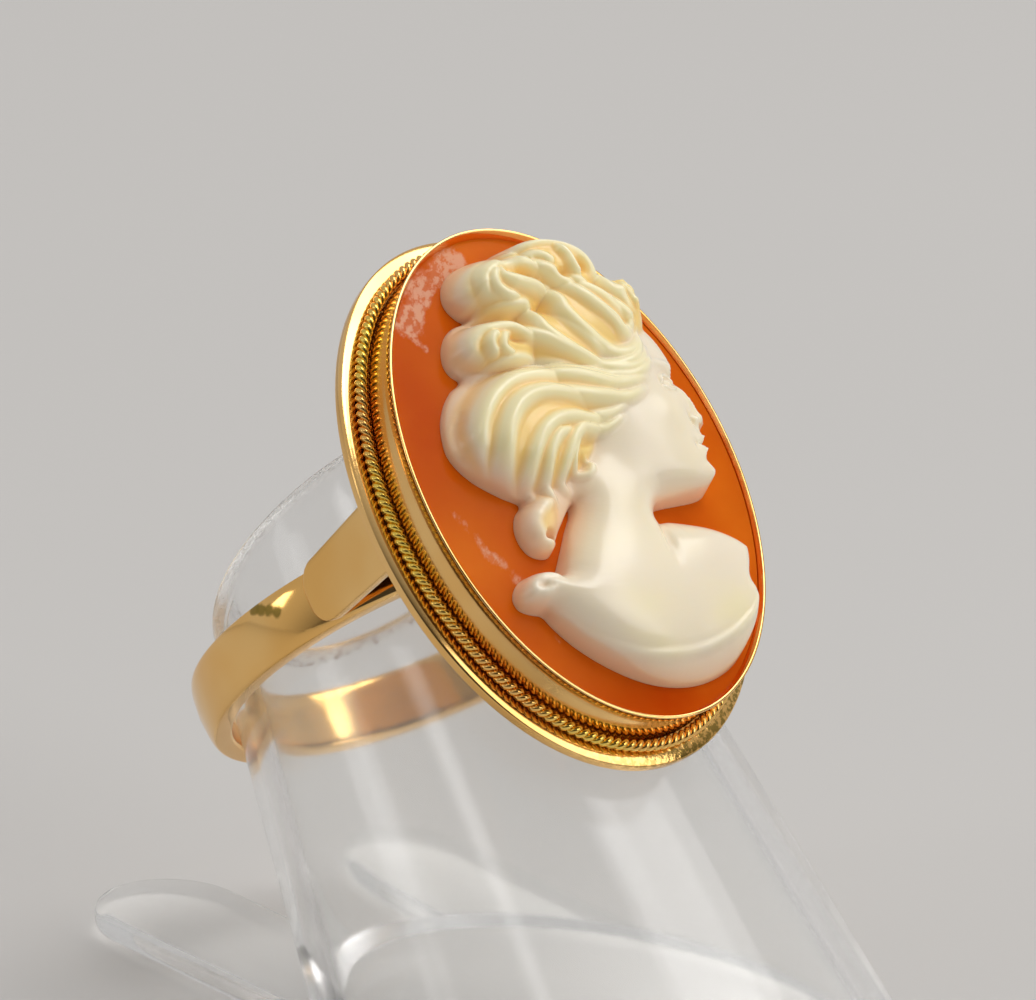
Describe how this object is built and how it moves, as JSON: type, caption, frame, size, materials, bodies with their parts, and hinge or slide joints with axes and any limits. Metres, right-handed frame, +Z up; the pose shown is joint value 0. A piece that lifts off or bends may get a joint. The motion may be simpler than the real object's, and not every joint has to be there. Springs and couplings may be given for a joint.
{
  "type": "cameo ring on a clear finger stand",
  "caption": "Gold ring with an oval shell cameo in a plain bezel edged with twisted wire, slipped over a leaning clear display finger on a flat forked foot.",
  "frame": {"origin": "middle of the foot's underside on the table, which is also the middle of the bounding box from above", "axes": "+Z up; -Y is the side that the cameo faces, upwards and forwards; the clear finger leans back towards +Y; +X is to the right seen from the cameo's side"},
  "size_m": [0.0226, 0.0394, 0.0293],
  "materials": {
    "gold": "polished",
    "wire_gold": "polished",
    "shell_orange": "polished",
    "shell_white": "satin",
    "clear_plastic": "clear"
  },
  "bodies": {
    "root": {"ring_mount": "gold", "rope_wire": "wire_gold", "shell_ground": "shell_orange", "cameo_bust": "shell_white", "stand_finger": "clear_plastic", "stand_foot": "clear_plastic"}
  },
  "joints": []
}
